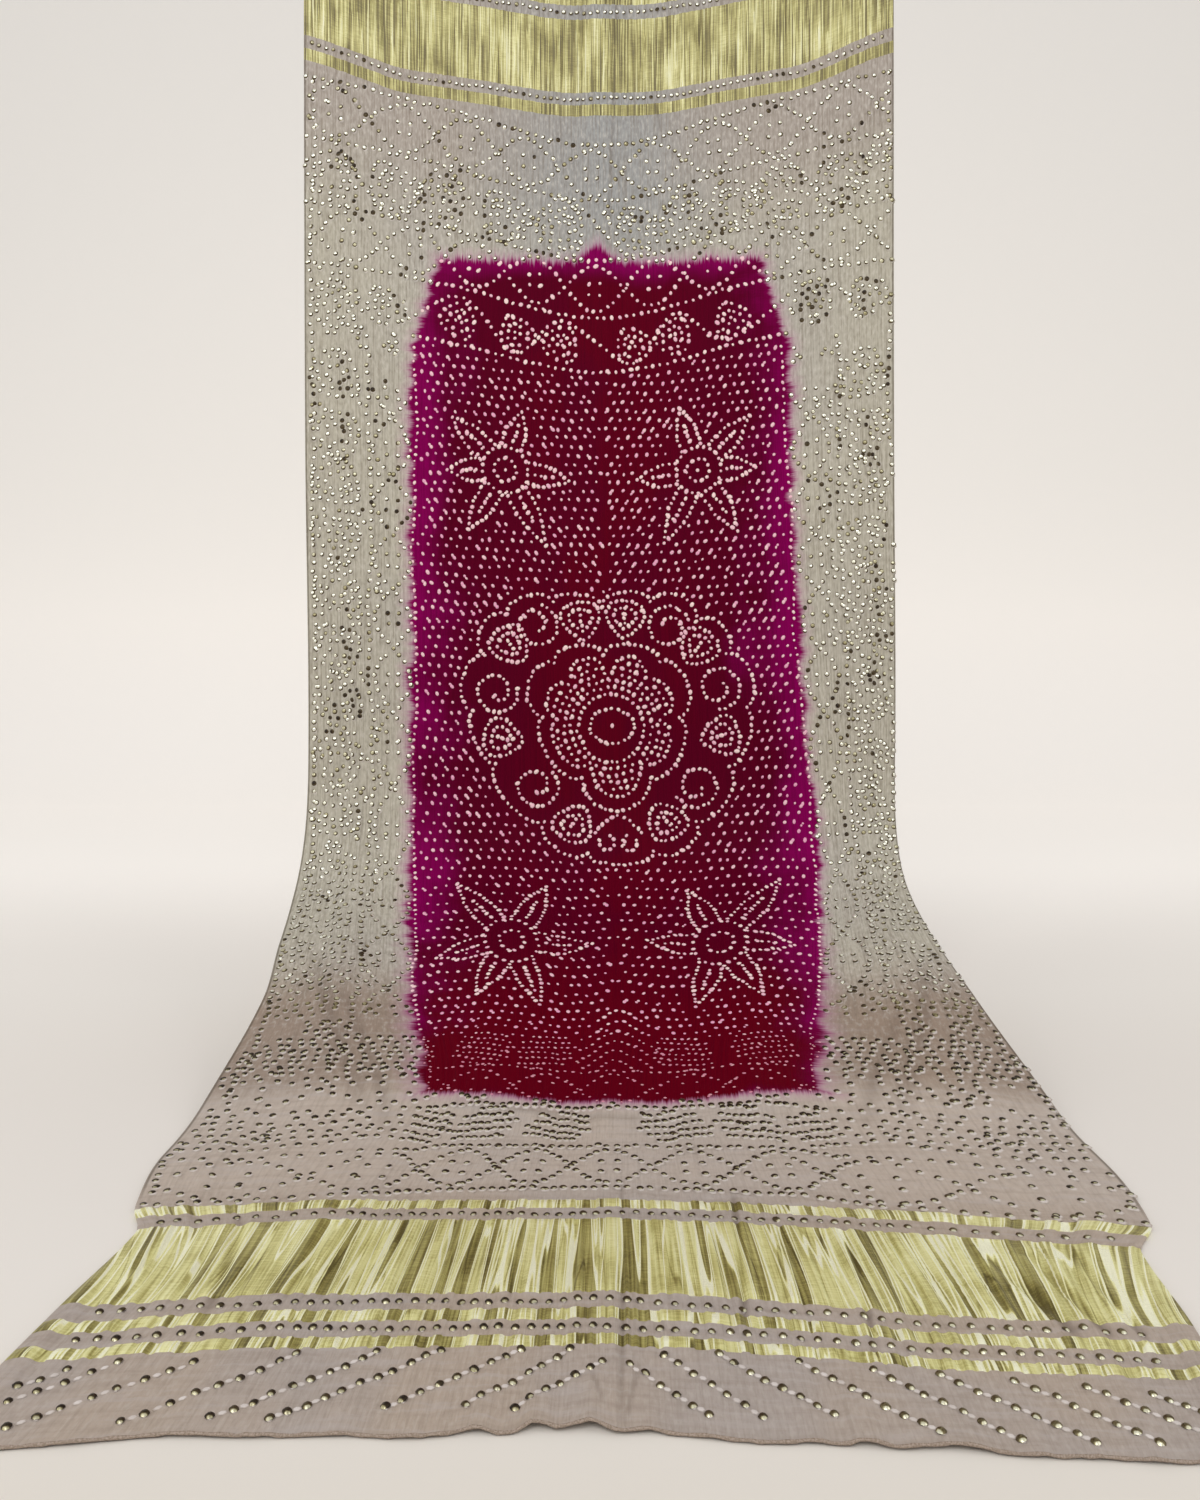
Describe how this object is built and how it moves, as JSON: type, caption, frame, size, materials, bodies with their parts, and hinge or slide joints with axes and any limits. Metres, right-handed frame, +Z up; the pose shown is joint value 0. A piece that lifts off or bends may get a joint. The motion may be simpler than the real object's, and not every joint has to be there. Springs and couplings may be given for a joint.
{
  "type": "bandhani cloth",
  "caption": "Crinkled silk bandhani dupatta with a tie-dyed magenta panel and woven gold tissue bands, hung and swept forward.",
  "frame": {"origin": "middle of the footprint, on the surface that the near end of the cloth lies on", "axes": "+Z up, -Y from the hanging part towards the near hem, +X to the right seen from the front"},
  "size_m": [0.928, 1.0538, 1.719],
  "materials": {
    "silk": "matte",
    "gold_tissue": "satin",
    "gold_disc": "polished",
    "resist_dot": "matte"
  },
  "bodies": {
    "root": {"cloth": "silk"}
  },
  "joints": []
}
